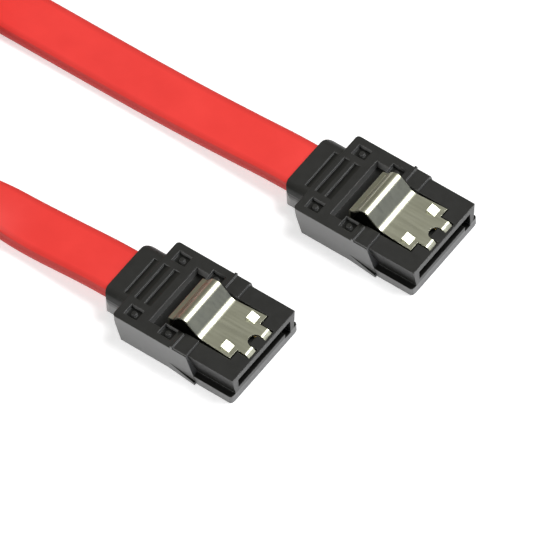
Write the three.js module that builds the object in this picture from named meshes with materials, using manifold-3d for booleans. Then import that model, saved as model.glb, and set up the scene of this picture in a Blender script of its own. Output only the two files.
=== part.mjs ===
// Flat data cable with a latching seven-contact plug on each end.
// Units are millimetres. +X points the way the plugs mate, +Z is up from the table.
// The origin is on the table, below the middle of the two plugs.
// A plug is built with its mating face at x = 0, its middle at y = 0 and its underside at z = 0.

import * as THREE from 'three';
import { mergeVertices } from 'three/addons/utils/BufferGeometryUtils.js';
import Module from 'manifold-3d';

const wasm = await Module();
wasm.setup();

// Plug nose
const plugHeight = 4.5;
const noseLength = 7.2;
const noseTopWidth = 13.5;
const noseFootWidth = 14.3;
const noseFootHeight = 1.3;
const noseUndercut = 0.5;
const noseCornerCut = 0.3;
const footCornerCut = 0.35;

// Slot that takes the mating tongue, with its key leg
const slotWidth = 11.2;
const slotFloor = 2.05;
const slotHeight = 1.55;
const slotDepth = 6.6;
const keyWidth = 1.2;
const keyDrop = 0.9;

// Contacts
const contactCount = 7;
const contactPitch = 1.27;
const contactWidth = 0.6;
const contactThickness = 0.16;
const contactRise = 0.3;
const contactSide = 0.1;
const contactTip = 2.3;
const bumpRun = 1.1;
const channelDrop = 0.75;
const channelMouth = 1.2;

// Wire tail of the housing, inside the grip
const tailLength = 8.4;
const tailWidth = 11.7;
const tailFloor = 1.0;
const tailHeight = 1.8;
const tailGroove = 1.1;
const tailLip = 0.4;
const fitGap = 0.1;

// Grip moulding
const gripLength = 11.7;
const gripWidth = 14.2;
const gripFrontSlant = 1.5;
const gripRearSlant = 1.2;
const gripCornerRadius = 0.5;
const blockLength = 2.15;
const blockRise = 0.2;
const blockInset = 0.15;
const ribLength = 0.35;
const ribRise = 0.42;
const skirtLength = 4.4;
const skirtHeight = 1.2;
const skirtNose = 0.4;
const skirtStandOut = 0.38;

// Strain relief boot behind the grip
const bootLength = 3.3;
const bootWidth = 10.8;
const bootOverlap = 3;
const bootFloor = 0.2;
const bootTopDrop = 0.1;
const bootRadius = 1.9;

// Finger ridges and pockets on the top of the grip
const ridgeCount = 3;
const ridgePitch = 1.6;
const ridgeLead = 0.9;
const ridgeRun = 0.95;
const ridgeDepth = 0.38;
const ridgeWidth = 6.5;
const pocketLength = 2.0;
const pocketWidth = 1.8;
const pocketDepth = 0.6;
const pocketOffset = 5.15;
const rearPocketPlace = 9.6;
const frontPocketPlace = 4.2;
const pegRadius = 0.5;
const pegDrop = 0.2;
const pegRoot = 0.2;

// Bay that the latch lies in
const bayLength = 7.2;
const bayRearLength = 1.9;
const bayRearWidth = 10.3;
const bayRearFloor = 3.2;
const baySide = 0.15;
const bayFloor = 3.9;
const rimThickness = 0.4;
const windowInner = 0.85;
const windowOuter = 2.65;
const windowDepth = 1.4;

// Latch, one bent steel strip
const latchWidth = 8.0;
const latchTaper = 0.3;
const latchThickness = 0.25;
const latchSeat = 5.15;
const latchRootGap = 0.3;
const rootSlitDepth = 0.6;
const rootSlitWidth = 0.85;
const heelHeight = 5.3;
const heelRadius = 0.15;
const valleyPlace = 4.45;
const valleyHeight = 5.5;
const valleyRadius = 0.25;
const crestPlace = 2.95;
const crestHeight = 7.15;
const crestRadius = 1.05;
const bendPlace = 0.45;
const bendRadius = 1.5;
const platePeak = 4.6;
const earPlace = 2.45;
const fingerPlace = 0.6;
const fingerBend = 0.55;
const fingerDrop = 0.42;
const fingerInner = 0.98;
const fingerOuter = 2.45;
const notchRadius = 1.0;
const barbPlace = 4.35;
const barbLength = 1.25;
const barbWidth = 1.3;
const barbRise = 0.42;
const barbInset = 0.6;

// Cable
const jacketWidth = 7.9;
const jacketThickness = 1.8;
const jacketHeight = 2.3;
const jacketClearance = 0.15;
const jacketHold = 3.8;
const groundRadius = 0.22;
const signalRadius = 0.32;
const wireLap = 1.4;
const wireGap = 0.3;
const wireFan = 0.84;

// Places of the two plugs
const plugStagger = 9.0;
const plugSpacing = 26.9;

// Coil of the spare cable
const coilX = -95.5;
const coilOuterTurn = 40;
const coilTurnPitch = 3;
const coilTurns = 1.125;
const coilTilt = 1.95;
const touchGap = 0.3;

// Tie round the coil
const tieAngle = -84;
const tieWidth = 3;
const tieThickness = 0.6;
const tieTail = 7;
const tieTwist = 1.1;
const tieCorner = 0.8;

// Finishes
const blackPlastic = { color: 0x2c2d2a, roughness: 0.42, metalness: 0 };
const darkPlastic = { color: 0x262724, roughness: 0.5, metalness: 0 };
const steel = { color: 0x9b9d8a, roughness: 0.28, metalness: 1 };
const gilt = { color: 0xb9a263, roughness: 0.3, metalness: 1 };
const redJacket = { color: 0xf0463f, roughness: 0.45, metalness: 0 };
const tinned = { color: 0xb5b6b4, roughness: 0.35, metalness: 1 };
const tieCoat = { color: 0x1d1d1f, roughness: 0.5, metalness: 0 };

// Axis frames for the prisms: where a shape's x and y and the length of the prism point
const frames = {
  xy: new THREE.Matrix4(),
  yz: new THREE.Matrix4().makeBasis(
    new THREE.Vector3(0, 1, 0), new THREE.Vector3(0, 0, 1), new THREE.Vector3(1, 0, 0)),
  zx: new THREE.Matrix4().makeBasis(
    new THREE.Vector3(0, 0, 1), new THREE.Vector3(1, 0, 0), new THREE.Vector3(0, 1, 0)),
};

// Turns a closed three.js geometry into a solid for cutting and joining.
function toSolid(geometry) {
  const bare = geometry.clone();
  bare.deleteAttribute('normal');
  bare.deleteAttribute('uv');
  const merged = mergeVertices(bare, 1e-5);
  return new wasm.Manifold(new wasm.Mesh({
    numProp: 3,
    vertProperties: new Float32Array(merged.attributes.position.array),
    triVerts: new Uint32Array(merged.index.array),
  }));
}

// Turns a solid back into a geometry.
function toGeometry(solid) {
  const mesh = solid.getMesh();
  const geometry = new THREE.BufferGeometry();
  geometry.setAttribute('position', new THREE.BufferAttribute(new Float32Array(mesh.vertProperties), 3));
  geometry.setIndex(new THREE.BufferAttribute(new Uint32Array(mesh.triVerts), 1));
  geometry.computeVertexNormals();
  return geometry;
}

// Prism of a shape, from one coordinate to another along the axis its frame leaves free.
function prism(shape, frame, from, to, curveSegments = 8) {
  const geometry = new THREE.ExtrudeGeometry(shape, {
    depth: to - from, bevelEnabled: false, steps: 1, curveSegments,
  });
  geometry.translate(0, 0, from);
  geometry.applyMatrix4(frames[frame]);
  return toSolid(geometry);
}

// Shape through a list of points.
function outline(points) {
  return new THREE.Shape(points.map(([x, y]) => new THREE.Vector2(x, y)));
}

// Box between two corners.
function block(x0, x1, y0, y1, z0, z1) {
  const geometry = new THREE.BoxGeometry(x1 - x0, y1 - y0, z1 - z0);
  geometry.translate((x0 + x1) / 2, (y0 + y1) / 2, (z0 + z1) / 2);
  return toSolid(geometry);
}

// Rectangle with round corners.
function roundedRect(x0, x1, y0, y1, radius) {
  const shape = new THREE.Shape();
  shape.moveTo(x0 + radius, y0);
  shape.lineTo(x1 - radius, y0);
  shape.absarc(x1 - radius, y0 + radius, radius, -Math.PI / 2, 0, false);
  shape.lineTo(x1, y1 - radius);
  shape.absarc(x1 - radius, y1 - radius, radius, 0, Math.PI / 2, false);
  shape.lineTo(x0 + radius, y1);
  shape.absarc(x0 + radius, y1 - radius, radius, Math.PI / 2, Math.PI, false);
  shape.lineTo(x0, y0 + radius);
  shape.absarc(x0 + radius, y0 + radius, radius, Math.PI, 1.5 * Math.PI, false);
  return shape;
}

// Strip of even thickness along a bent line, as a closed outline.
function stripOutline(line, thickness) {
  const points = line.map(([x, y]) => new THREE.Vector2(x, y));
  const upper = [];
  const lower = [];
  points.forEach((point, i) => {
    const before = points[Math.max(i - 1, 0)];
    const after = points[Math.min(i + 1, points.length - 1)];
    const ahead = i < points.length - 1 ? after.clone().sub(point) : point.clone().sub(before);
    const behind = i > 0 ? point.clone().sub(before) : ahead.clone();
    const along = ahead.normalize().add(behind.normalize());
    const spread = thickness / along.length();
    const side = new THREE.Vector2(-along.y, along.x).normalize().multiplyScalar(spread);
    upper.push(point.clone().add(side));
    lower.push(point.clone().sub(side));
  });
  return new THREE.Shape([...upper, ...lower.reverse()]);
}

function named(name, geometry, finish) {
  const mesh = new THREE.Mesh(geometry, new THREE.MeshStandardMaterial(finish));
  mesh.name = name;
  return mesh;
}

// Values that follow from the driving dimensions
const slotTop = slotFloor + slotHeight;
const contactBase = slotFloor - channelDrop;
const contactsMiddle = -keyWidth / 2;
const tailTop = tailFloor + tailHeight;
const tailEnd = noseLength + tailLength;
const tailContact = tailTop - tailGroove + fitGap + contactThickness / 2;
const gripRear = noseLength + gripLength;
const bootRear = gripRear + bootLength;
const jacketInset = bootRear - jacketHold;
const bayRear = noseLength + bayLength;
const bayWidth = latchWidth + 2 * baySide;
const latchRoot = noseLength + latchSeat;
const channelWidth = contactWidth + 2 * contactSide;
const contactY = (i) => contactsMiddle + (i - (contactCount - 1) / 2) * contactPitch;

// Block whose y range is given by two distances from the middle, on one side of it.
function sideBlock(side, x0, x1, inner, outer, z0, z1) {
  return block(x0, x1, Math.min(side * inner, side * outer), Math.max(side * inner, side * outer), z0, z1);
}

// Section across the nose: a wide foot, and walls that lean in below the top.
function noseSection() {
  const foot = noseFootWidth / 2;
  const top = noseTopWidth / 2;
  const right = [
    [foot, 0], [foot, noseFootHeight], [top - noseUndercut, noseFootHeight + 0.1], [top, plugHeight],
  ];
  const left = right.map(([y, z]) => [-y, z]).reverse();
  return outline([...right, ...left]);
}

// Plan of the nose with its cut front corners.
function nosePlan() {
  const half = noseFootWidth / 2;
  const right = [
    [-noseLength - 1, half], [-footCornerCut, half], [-noseCornerCut / 3, half - footCornerCut * 0.55],
    [0, half - footCornerCut - noseCornerCut],
  ];
  return outline([...right, ...right.map(([x, y]) => [x, -y]).reverse()]);
}

// Housing: nose with slot, key, contact channels and latch bay, and the wire tail behind it.
function housing() {
  const rearFace = outline([
    [0, 1], [plugHeight, 1], [plugHeight, -noseLength + fitGap],
    [0, -noseLength + gripFrontSlant + fitGap],
  ]);
  const half = noseFootWidth / 2;
  const slot = slotWidth / 2;
  const tail = block(-tailEnd, -noseLength + gripFrontSlant + 0.5, -tailWidth / 2, tailWidth / 2,
    tailFloor, tailTop);
  let body = prism(noseSection(), 'yz', -noseLength, 0)
    .intersect(prism(nosePlan(), 'xy', 0, plugHeight))
    .intersect(prism(rearFace, 'zx', -half, half))
    .add(tail)
    .subtract(block(-slotDepth, 1, -slot, slot, slotFloor, slotTop))
    .subtract(block(-slotDepth, 1, slot - keyWidth, slot, slotFloor - keyDrop, slotTop))
    .subtract(block(-noseLength - 1, -earPlace + baySide, -bayWidth / 2, bayWidth / 2, bayFloor,
      plugHeight + 1))
    .subtract(block(-earPlace - 1, -earPlace + notchRadius * 0.75, -windowOuter, windowOuter, bayFloor,
      plugHeight + 1));
  for (const side of [-1, 1]) {
    body = body.subtract(sideBlock(side, -earPlace, -rimThickness, windowInner, windowOuter,
      plugHeight - windowDepth, plugHeight + 1));
  }
  for (let i = 0; i < contactCount; i += 1) {
    const y = contactY(i);
    const w = channelWidth / 2;
    body = body
      .subtract(block(-noseLength - 0.6, -channelMouth, y - w, y + w, contactBase, tailTop - fitGap / 2))
      .subtract(block(-tailEnd - 1, -noseLength - tailLip, y - w, y + w, tailTop - tailGroove, tailTop + 1));
  }
  return body;
}

// Spring contact: a bump in the slot, then a tail back to its wire.
function contact(i) {
  const rest = contactBase + fitGap + contactThickness;
  const line = [
    [-contactTip + bumpRun / 2, rest + fitGap], [-contactTip, slotFloor - fitGap],
    [-contactTip - bumpRun, slotFloor + contactRise], [-contactTip - 2 * bumpRun, slotFloor - fitGap],
    [-contactTip - 3 * bumpRun, rest], [-slotDepth + 0.3, rest],
    [-noseLength - fitGap, tailContact], [-tailEnd + tailLip, tailContact],
  ];
  const y = contactY(i);
  const shape = stripOutline(line.map(([x, z]) => [z, x]), contactThickness);
  return prism(shape, 'zx', y - contactWidth / 2, y + contactWidth / 2);
}

// Bared wire end on top of a contact's tail. Grounds are thin drain wires.
function wire(i) {
  const isGround = i % 3 === 0;
  const radius = isGround ? groundRadius : signalRadius;
  const height = tailContact + contactThickness / 2 + fitGap + radius;
  const points = [
    new THREE.Vector3(-tailEnd + wireLap, contactY(i), height),
    new THREE.Vector3(-tailEnd - tailLip, contactY(i), height),
    new THREE.Vector3(-jacketInset + wireGap, (contactY(i) - contactsMiddle) * wireFan, jacketHeight),
  ];
  const circle = new THREE.Shape();
  circle.absarc(0, 0, radius, 0, 2 * Math.PI, false);
  return new THREE.ExtrudeGeometry(circle, {
    steps: 6, bevelEnabled: false, curveSegments: 4, extrudePath: new THREE.CatmullRomCurve3(points),
  });
}

// Saw-tooth finger ridges and four pockets, cut from the top of the grip.
function gripTopCuts() {
  const cuts = [];
  const above = plugHeight + 1;
  for (let i = 0; i < ridgeCount; i += 1) {
    const x = -gripRear - ridgeLead + i * ridgePitch;
    const tooth = outline([
      [above, x], [plugHeight - ridgeDepth, x], [plugHeight, x + ridgeRun], [above, x + ridgeRun],
    ]);
    cuts.push(prism(tooth, 'zx', -ridgeWidth / 2, ridgeWidth / 2));
  }
  const pegHeight = pocketDepth - pegDrop + pegRoot;
  for (const place of [rearPocketPlace, frontPocketPlace]) {
    for (const side of [-1, 1]) {
      const x = -noseLength - place;
      const recess = sideBlock(side, x - pocketLength / 2, x + pocketLength / 2,
        pocketOffset - pocketWidth / 2, pocketOffset + pocketWidth / 2, plugHeight - pocketDepth, above);
      const peg = new THREE.CylinderGeometry(pegRadius * 0.7, pegRadius, pegHeight, 12);
      peg.rotateX(Math.PI / 2);
      peg.translate(x, side * pocketOffset, plugHeight - pegDrop - pegHeight / 2);
      cuts.push(recess.subtract(toSolid(peg)));
    }
  }
  return cuts;
}

// Block beside the latch, with a rib across its rear end.
function cheek(side) {
  const inner = bayWidth / 2;
  const outer = gripWidth / 2 - blockInset;
  const rear = -noseLength - blockLength;
  const foot = plugHeight - 1;
  return sideBlock(side, rear, -noseLength, inner, outer, foot, plugHeight + blockRise)
    .add(sideBlock(side, rear - ribLength, rear, inner + 2 * blockInset, outer + blockInset, foot,
      plugHeight + ribRise));
}

// Skirt: the lower front of the grip's side, which flares out towards the nose.
function skirt(side) {
  const front = -noseLength + gripFrontSlant;
  const wall = gripWidth / 2;
  const plan = outline([
    [front - skirtLength, side * wall], [front - skirtLength, side * (wall - 1)],
    [front, side * (wall - 1)], [front, side * (wall + skirtStandOut)],
  ]);
  const profile = outline([
    [0, front - skirtLength], [0, front], [skirtNose, front - skirtNose / 4],
    [skirtHeight, front - skirtLength],
  ]);
  return prism(plan, 'xy', 0, skirtHeight).intersect(prism(profile, 'zx', -gripWidth, gripWidth));
}

// Boot: the part of the moulding that holds the cable.
function boot() {
  const half = bootWidth / 2;
  const section = roundedRect(-half, half, bootFloor, plugHeight - bootTopDrop, bootRadius);
  const plan = roundedRect(-bootRear, -gripRear + 2 * bootOverlap, -half, half, bootRadius);
  return prism(section, 'yz', -bootRear, -gripRear + bootOverlap, 5)
    .intersect(prism(plan, 'xy', 0, plugHeight, 5));
}

// Grip: outer moulding round the housing's tail, with the boot that holds the cable.
function grip() {
  const half = gripWidth / 2;
  const sideView = outline([
    [0, -gripRear + gripRearSlant], [plugHeight, -gripRear], [plugHeight, -noseLength],
    [0, -noseLength + gripFrontSlant],
  ]);
  const plan = roundedRect(-gripRear, -noseLength + gripFrontSlant + 1, -half, half, gripCornerRadius);
  let body = prism(sideView, 'zx', -half, half).intersect(prism(plan, 'xy', 0, plugHeight, 4)).add(boot());
  for (const side of [-1, 1]) {
    body = body.add(cheek(side)).add(skirt(side));
  }
  const jacketHalf = jacketWidth / 2 + jacketClearance;
  const jacketHalfThick = jacketThickness / 2 + jacketClearance;
  const passage = roundedRect(-jacketHalf, jacketHalf, jacketHeight - jacketHalfThick,
    jacketHeight + jacketHalfThick, jacketHalfThick * 0.8);
  const slit = rootSlitWidth / 2;
  body = body
    .subtract(block(-jacketInset, 1, -tailWidth / 2 - fitGap, tailWidth / 2 + fitGap,
      tailFloor - fitGap, tailTop + fitGap))
    .subtract(prism(passage, 'yz', -bootRear - 1, -jacketInset + 1, 4))
    .subtract(block(-bayRear, -bayRear + bayRearLength, -bayRearWidth / 2, bayRearWidth / 2, bayRearFloor,
      plugHeight + 1))
    .subtract(block(-bayRear + bayRearLength / 2, 1, -bayWidth / 2, bayWidth / 2, bayFloor, plugHeight + 1))
    .subtract(block(-latchRoot - slit, -latchRoot + slit, -bayWidth / 2, bayWidth / 2,
      bayFloor - rootSlitDepth, plugHeight));
  for (const cut of gripTopCuts()) {
    body = body.subtract(cut);
  }
  return body;
}

// Points of a bent line: straight runs joined by arcs. Each corner is x, z and its radius.
function bentLine(corners, step = Math.PI / 20) {
  const points = corners.map(([x, z]) => new THREE.Vector2(x, z));
  const line = [points[0]];
  for (let i = 1; i < corners.length - 1; i += 1) {
    const into = points[i].clone().sub(points[i - 1]).normalize();
    const out = points[i + 1].clone().sub(points[i]).normalize();
    const turn = Math.atan2(into.cross(out), into.dot(out));
    const radius = corners[i][2];
    const start = points[i].clone().addScaledVector(into, -radius * Math.tan(Math.abs(turn) / 2));
    const count = Math.max(1, Math.round(Math.abs(turn) / step));
    const side = new THREE.Vector2(-into.y, into.x).multiplyScalar(Math.sign(turn) * radius);
    const centre = start.clone().add(side);
    for (let k = 0; k <= count; k += 1) {
      line.push(start.clone().rotateAround(centre, turn * k / count));
    }
  }
  line.push(points[points.length - 1]);
  return line;
}

// Side view of the latch strip, as its middle line from root to finger tips.
function latchLine() {
  const t = latchThickness / 2;
  const plate = platePeak - t;
  return bentLine([
    [-latchRoot, bayFloor - rootSlitDepth + latchRootGap],
    [-latchRoot, heelHeight - t, heelRadius],
    [-noseLength - valleyPlace, valleyHeight - t, valleyRadius],
    [-noseLength - crestPlace, crestHeight - t, crestRadius],
    [-noseLength - bendPlace, plate, bendRadius],
    [-fingerPlace - fingerBend, plate, fingerBend],
    [-fingerPlace, plate - fingerDrop],
  ]);
}

// Plan of the latch: ears at the sides, two fingers and a round notch between them.
function latchPlan() {
  const half = latchWidth / 2;
  const rear = -latchRoot - 1;
  const bend = -noseLength - bendPlace;
  const narrow = half - latchTaper;
  const depth = Math.sqrt(notchRadius ** 2 - fingerInner ** 2);
  const centre = -earPlace + notchRadius * 1.1;
  const start = Math.asin(fingerInner / notchRadius);
  const shape = outline([
    [rear, -narrow], [bend, -narrow], [-earPlace, -half], [-earPlace, -fingerOuter], [0, -fingerOuter],
    [0, -fingerInner], [centre + depth, -fingerInner],
  ]);
  shape.absarc(centre, 0, notchRadius, -start, start, true);
  shape.lineTo(0, fingerInner);
  shape.lineTo(0, fingerOuter);
  shape.lineTo(-earPlace, fingerOuter);
  shape.lineTo(-earPlace, half);
  shape.lineTo(bend, narrow);
  shape.lineTo(rear, narrow);
  return shape;
}

// Latch: bent strip cut to its plan, with a ramped barb on each side of the plate.
function latch() {
  const half = latchWidth / 2;
  const line = latchLine().map((point) => [point.y, point.x]);
  let strip = prism(stripOutline(line, latchThickness), 'zx', -half, half)
    .intersect(prism(latchPlan(), 'xy', 0, crestHeight + 1, 12));
  const rootHeight = platePeak - latchThickness / 2;
  const barb = outline([
    [rootHeight, -barbPlace], [platePeak + barbRise, -barbPlace],
    [rootHeight, -barbPlace + barbLength * (1 + latchThickness / 2 / barbRise)],
  ]);
  for (const side of [-1, 1]) {
    const outer = side * (half - barbInset);
    const inner = outer - side * barbWidth;
    strip = strip.add(prism(barb, 'zx', Math.min(inner, outer), Math.max(inner, outer)));
  }
  return strip;
}

// One whole plug as a group, named with its letter.
function plug(letter) {
  const group = new THREE.Group();
  const add = (name, geometry, finish) => group.add(named(`plug_${letter}_${name}`, geometry, finish));
  add('housing', toGeometry(housing()), darkPlastic);
  add('grip', toGeometry(grip()), blackPlastic);
  add('latch', toGeometry(latch()), steel);
  for (let i = 0; i < contactCount; i += 1) {
    add(`contact_${i + 1}`, toGeometry(contact(i)), gilt);
    add(`wire_${i + 1}`, wire(i), tinned);
  }
  return group;
}

// Route of a flat lead: a smooth line whose ribbon is turned about it, from flat (0) to on edge (90).
class RibbonPath extends THREE.CatmullRomCurve3 {
  constructor(points) {
    super(points.map(([x, y, z]) => new THREE.Vector3(x, y, z)), false, 'centripetal');
    this.turns = points.map((point) => THREE.MathUtils.degToRad(point[3]));
  }

  turnAt(t) {
    const place = t * (this.turns.length - 1);
    const i = Math.min(Math.floor(place), this.turns.length - 2);
    return THREE.MathUtils.lerp(this.turns[i], this.turns[i + 1], place - i);
  }

  computeFrenetFrames(segments) {
    const tangents = [];
    const normals = [];
    const binormals = [];
    for (let i = 0; i <= segments; i += 1) {
      const u = i / segments;
      const tangent = this.getTangentAt(u);
      const level = new THREE.Vector3(-tangent.y, tangent.x, 0).normalize();
      const turn = this.turnAt(this.getUtoTmapping(u));
      const across = level.clone().applyAxisAngle(tangent, turn);
      tangents.push(tangent);
      normals.push(across);
      binormals.push(new THREE.Vector3().crossVectors(tangent, across));
    }
    return { tangents, normals, binormals };
  }
}

// Section of the flat jacket, rounded at its two edges.
function jacketSection() {
  const w = jacketWidth / 2;
  const t = jacketThickness / 2;
  const corner = [[w, t * 0.36], [w - t * 0.27, t * 0.82], [w - t * 0.82, t]];
  const upper = [...corner, ...corner.map(([x, y]) => [-x, y]).reverse()];
  const lower = upper.map(([x, y]) => [-x, -y]);
  return outline([...upper, ...lower]);
}

function lead(points, steps) {
  return new THREE.ExtrudeGeometry(jacketSection(), {
    steps, bevelEnabled: false, curveSegments: 1, extrudePath: new RibbonPath(points),
  });
}

// Places of the plugs about the origin
const bodyMiddle = (plugStagger - bootRear) / 2;
const plugAX = -bodyMiddle;
const plugBX = plugStagger - bodyMiddle;
const sideY = plugSpacing / 2;

// Lead from plug A: flat out of the boot, down to the table, then turned on edge up to the coil.
// Each point is x, y, z and the ribbon's turn in degrees.
const leadA = [
  [plugAX - jacketInset, -sideY, jacketHeight, 0],
  [-16.2, -sideY, 2.3, 0],
  [-19.7, -sideY, 2.15, 0],
  [-23.7, -sideY, 1.75, 0],
  [-27.7, -sideY, 1.35, 0],
  [-31.7, -13.48, 1.2, 3],
  [-35.8, -13.62, 1.6, 10],
  [-40.4, -14.15, 2.5, 24],
  [-45.0, -15.1, 3.7, 42],
  [-49.4, -16.6, 4.9, 60],
  [-53.7, -18.6, 5.8, 75],
  [-57.3, -20.7, 6.4, 85],
  [-59.9, -22.5, 6.6, 90],
];

// Lead to plug B: from the inside of the coil round on edge, then flat under the coil to the boot.
const leadB = [
  [-113.5, -29.0, 4.35, 90],
  [-117.1, -24.1, 4.1, 90],
  [-120.1, -15.9, 4.0, 90],
  [-120.1, -7.3, 4.0, 90],
  [-117.1, 0.9, 4.0, 90],
  [-111.6, 7.5, 4.0, 90],
  [-104.0, 11.8, 4.0, 88],
  [-95.5, sideY, 3.95, 80],
  [-88.5, sideY, 3.75, 62],
  [-81.5, sideY, 3.05, 38],
  [-75.0, sideY, 1.95, 14],
  [-69.0, sideY, 1.1, 2],
  [-63.0, sideY, 0.92, 0],
  [-56.0, sideY, 0.92, 0],
  [-49.0, sideY, 0.92, 0],
  [-41.0, sideY, 0.92, 0],
  [-33.0, sideY, 0.97, 0],
  [-25.0, sideY, 1.2, 0],
  [-17.0, sideY, 1.7, 0],
  [-10.5, sideY, 2.2, 0],
  [-6.3, sideY, 2.3, 0],
  [plugBX - jacketInset, sideY, jacketHeight, 0],
];

// Coil of the spare cable, standing on edge, as one ring of the outer shape of its turns.
const coilOuter = coilOuterTurn + jacketThickness / 2;
const coilInner = coilOuterTurn - coilTurnPitch * coilTurns - jacketThickness / 2;

function coilRing() {
  const edge = jacketThickness * 0.3;
  const profile = [
    [coilInner, edge], [coilInner + edge, 0], [coilOuter - edge, 0], [coilOuter, edge],
    [coilOuter, jacketWidth - edge], [coilOuter - edge, jacketWidth],
    [coilInner + edge, jacketWidth], [coilInner, jacketWidth - edge], [coilInner, edge],
  ].map(([x, y]) => new THREE.Vector2(x, y));
  const geometry = new THREE.LatheGeometry(profile, 64);
  geometry.rotateX(Math.PI / 2);
  return geometry;
}

// Coil with the tie round it: a flat band with its twisted ends standing outwards.
function buildCoil() {
  const group = new THREE.Group();
  const ring = named('cable_coil', coilRing(), redJacket);
  group.add(ring);
  const loopShape = roundedRect(coilInner - touchGap - tieThickness,
    coilOuter + touchGap + tieThickness, -touchGap - tieThickness,
    jacketWidth + touchGap + tieThickness, tieCorner + tieThickness / 2);
  loopShape.holes.push(roundedRect(coilInner - touchGap, coilOuter + touchGap, -touchGap,
    jacketWidth + touchGap, tieCorner));
  const loop = new THREE.ExtrudeGeometry(loopShape, {
    depth: tieWidth, bevelEnabled: false, steps: 1, curveSegments: 3,
  });
  loop.translate(0, 0, -tieWidth / 2);
  loop.rotateX(Math.PI / 2);
  const ends = new THREE.BoxGeometry(tieTail, tieTwist, tieTwist);
  ends.translate(coilOuter + touchGap + tieThickness / 2 + tieTail / 2, 0, jacketWidth - tieTwist);
  const band = named('coil_tie', toGeometry(toSolid(loop).add(toSolid(ends))), tieCoat);
  band.rotation.z = THREE.MathUtils.degToRad(tieAngle);
  group.add(band);
  group.rotation.y = THREE.MathUtils.degToRad(-coilTilt);
  group.position.set(coilX, 0, coilOuter * Math.sin(THREE.MathUtils.degToRad(coilTilt)));
  return group;
}

const cable = new THREE.Group();
const plugA = plug('a');
plugA.position.set(plugAX, -sideY, 0);
const plugB = plug('b');
plugB.position.set(plugBX, sideY, 0);
cable.add(plugA, plugB);
cable.add(named('cable_lead_a', lead(leadA, 14), redJacket));
cable.add(named('cable_lead_b', lead(leadB, 30), redJacket));
cable.add(buildCoil());

export default cable;
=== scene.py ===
"""Looks of a flat data cable with a latching plug on each end.

Every object is in metres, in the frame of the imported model: +X is the way the plugs mate and +Z is up.
"""

import logging
import math
from collections.abc import Sequence
from dataclasses import dataclass, field
from enum import Enum

import bmesh
import bpy
import numpy as np
from mathutils import Matrix, Vector


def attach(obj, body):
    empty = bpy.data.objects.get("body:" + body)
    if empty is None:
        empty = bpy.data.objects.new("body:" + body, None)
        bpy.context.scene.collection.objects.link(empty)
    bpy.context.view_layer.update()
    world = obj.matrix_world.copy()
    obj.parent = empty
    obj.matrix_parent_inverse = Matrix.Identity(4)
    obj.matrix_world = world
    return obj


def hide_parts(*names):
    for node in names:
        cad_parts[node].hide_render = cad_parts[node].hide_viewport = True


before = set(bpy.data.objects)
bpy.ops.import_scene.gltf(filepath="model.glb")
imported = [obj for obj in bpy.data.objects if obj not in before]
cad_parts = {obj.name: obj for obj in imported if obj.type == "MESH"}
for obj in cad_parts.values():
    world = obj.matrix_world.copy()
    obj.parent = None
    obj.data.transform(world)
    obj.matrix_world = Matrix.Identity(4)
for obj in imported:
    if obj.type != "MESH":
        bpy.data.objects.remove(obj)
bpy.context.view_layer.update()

LOG = logging.getLogger("data_cable")
MM = 0.001
ROOT_BODY = "cable_and_plugs"
WELD = 0.005 * MM
Colour = tuple[float, float, float]
Node = bpy.types.Node
NodeTree = bpy.types.NodeTree
ShaderTree = bpy.types.ShaderNodeTree
GeometryTree = bpy.types.GeometryNodeTree
Socket = bpy.types.NodeSocket


class Letter(Enum):
    """The two plugs of the cable."""

    A = "a"
    B = "b"


class Slot(Enum):
    """The record's material slots."""

    HOUSING = "housing_plastic"
    GRIP = "grip_plastic"
    LATCH = "latch_steel"
    CONTACT = "contact_metal"
    WIRE = "wire_metal"
    JACKET = "jacket"
    TIE = "tie_coat"


# Nodes that the materials and the studio share


def noise_node(tree: NodeTree, detail: float, roughness: float = 0.5) -> Node:
    """Adds a noise texture."""
    node = tree.nodes.new("ShaderNodeTexNoise")
    node.inputs["Detail"].default_value = detail
    node.inputs["Roughness"].default_value = roughness
    return node


def math_node(tree: NodeTree, operation: str, second: float | None = None) -> Node:
    """Adds a Math node, with its second value where that is fixed."""
    node = tree.nodes.new("ShaderNodeMath")
    node.operation = operation
    if second is not None:
        node.inputs[1].default_value = second
    return node


def ramp_node(tree: NodeTree, zero_at: float, one_at: float) -> Node:
    """Adds a ramp that runs from 0 at one value to 1 at another."""
    node = tree.nodes.new("ShaderNodeMapRange")
    node.inputs["From Min"].default_value = zero_at
    node.inputs["From Max"].default_value = one_at
    return node


def mix_node(tree: NodeTree, high: Colour, low: Colour | None = None) -> Node:
    """Adds a mix of two colours, the first of which may come from another node."""
    node = tree.nodes.new("ShaderNodeMix")
    node.data_type = "RGBA"
    node.inputs["B"].default_value = (*high, 1.0)
    if low is not None:
        node.inputs["A"].default_value = (*low, 1.0)
    return node


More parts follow.
